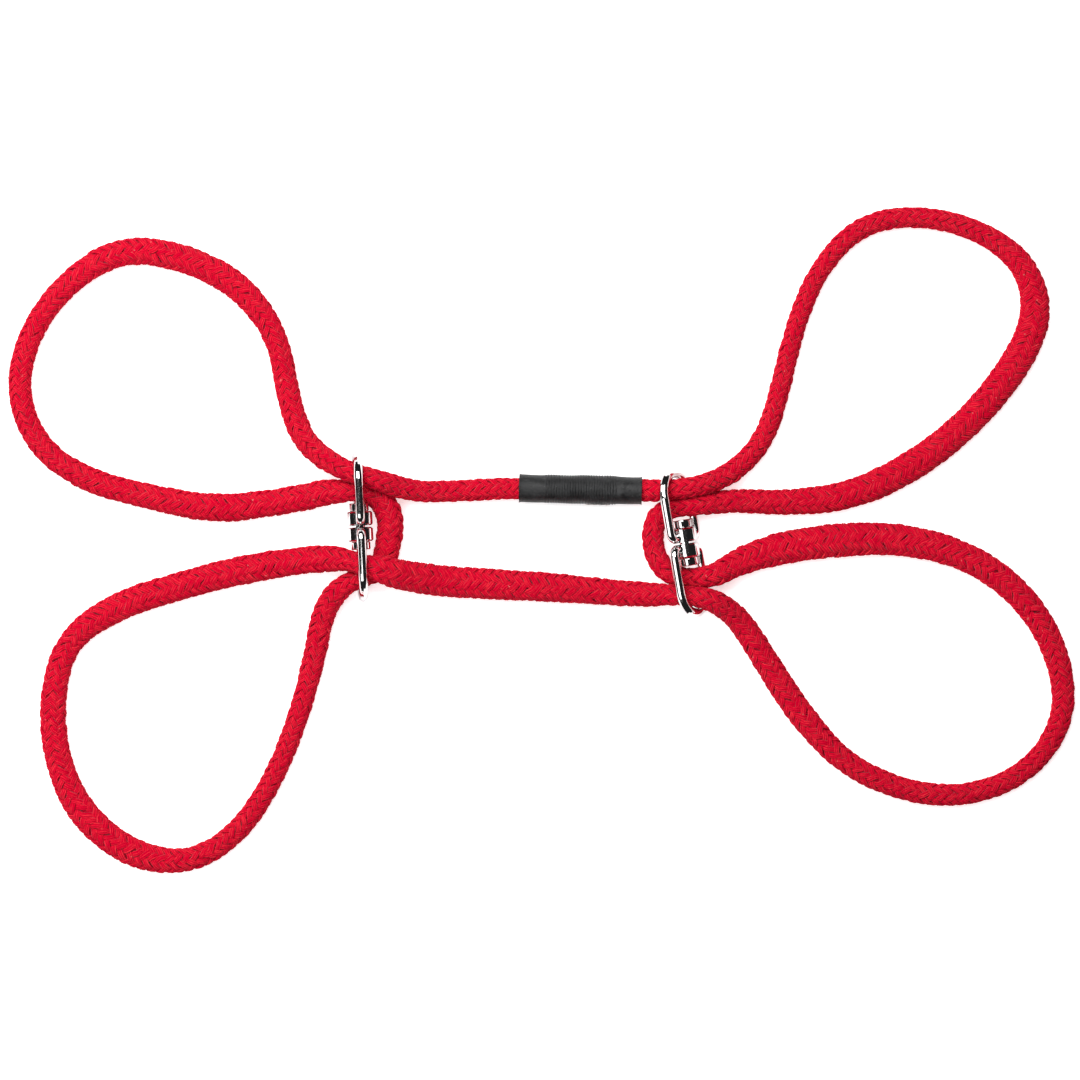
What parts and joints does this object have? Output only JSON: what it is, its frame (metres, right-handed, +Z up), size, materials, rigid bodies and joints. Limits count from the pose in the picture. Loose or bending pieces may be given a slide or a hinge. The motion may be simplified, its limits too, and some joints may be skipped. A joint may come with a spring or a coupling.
{
  "type": "swivel rope hobble",
  "caption": "Braided cotton rope ring threaded through double-eye metal swivels and laid out in open loops, its ends joined inside a black heat-shrink sleeve.",
  "frame": {"origin": "centre of the bounding box at the floor the rope lies on", "axes": "+X along the long side of the layout, from the left loops to the right loops, +Z up from the floor"},
  "size_m": [0.3988, 0.2487, 0.0207],
  "materials": {
    "rope_cover": "matte braided cotton",
    "rope_core": "matte cotton yarn",
    "whipping_thread": "waxed thread",
    "shrink_black": "satin heat-shrink",
    "swivel_chrome": "polished plating"
  },
  "bodies": {
    "rope_ring": {"heat_shrink_sleeve": "shrink_black", "rope_core_bottom_run": "rope_core", "rope_core_left_bridge": "rope_core", "rope_core_loop_lower_left": "rope_core", "rope_core_loop_lower_right": "rope_core", "rope_core_loop_upper_left": "rope_core", "rope_core_loop_upper_right": "rope_core", "rope_core_right_bridge": "rope_core", "rope_core_top_left": "rope_core", "rope_core_top_right": "rope_core", "rope_cover_bottom_run": "rope_cover", "rope_cover_left_bridge": "rope_cover", "rope_cover_loop_lower_left": "rope_cover", "rope_cover_loop_lower_right": "rope_cover", "rope_cover_loop_upper_left": "rope_cover", "rope_cover_loop_upper_right": "rope_cover", "rope_cover_right_bridge": "rope_cover", "rope_cover_top_left": "rope_cover", "rope_cover_top_right": "rope_cover", "splice_whipping": "whipping_thread"},
    "left_upper_eye": {"left_upper_eye": "swivel_chrome"},
    "left_lower_eye": {"left_lower_eye": "swivel_chrome"},
    "left_swivel_pin": {"left_swivel_pin": "swivel_chrome"},
    "right_upper_eye": {"right_upper_eye": "swivel_chrome"},
    "right_lower_eye": {"right_lower_eye": "swivel_chrome"},
    "right_swivel_pin": {"right_swivel_pin": "swivel_chrome"}
  },
  "joints": [
    {"name": "left_upper_eye_turn", "type": "hinge", "parent": "rope_ring", "child": "left_upper_eye", "pos_m": [-0.0673, 0.00506, 0.0104], "axis": [-0.048, 0.9988, 0], "range_deg": [-12, 10]},
    {"name": "left_lower_eye_turn", "type": "hinge", "parent": "rope_ring", "child": "left_lower_eye", "pos_m": [-0.0673, 0.00506, 0.0104], "axis": [-0.048, 0.9988, 0], "range_deg": [-6, 3]},
    {"name": "left_pin_spin", "type": "hinge", "parent": "left_upper_eye", "child": "left_swivel_pin", "pos_m": [-0.0673, 0.00506, 0.0104], "axis": [-0.048, 0.9988, 0], "continuous": true},
    {"name": "right_upper_eye_turn", "type": "hinge", "parent": "rope_ring", "child": "right_upper_eye", "pos_m": [0.0542, -0.0011, 0.00885], "axis": [-0.168, 0.9858, 0], "range_deg": [-4, 40]},
    {"name": "right_lower_eye_turn", "type": "hinge", "parent": "rope_ring", "child": "right_lower_eye", "pos_m": [0.0542, -0.0011, 0.00885], "axis": [-0.168, 0.9858, 0], "range_deg": [-6, 25]},
    {"name": "right_pin_spin", "type": "hinge", "parent": "right_upper_eye", "child": "right_swivel_pin", "pos_m": [0.0542, -0.0011, 0.00885], "axis": [-0.168, 0.9858, 0], "continuous": true}
  ]
}
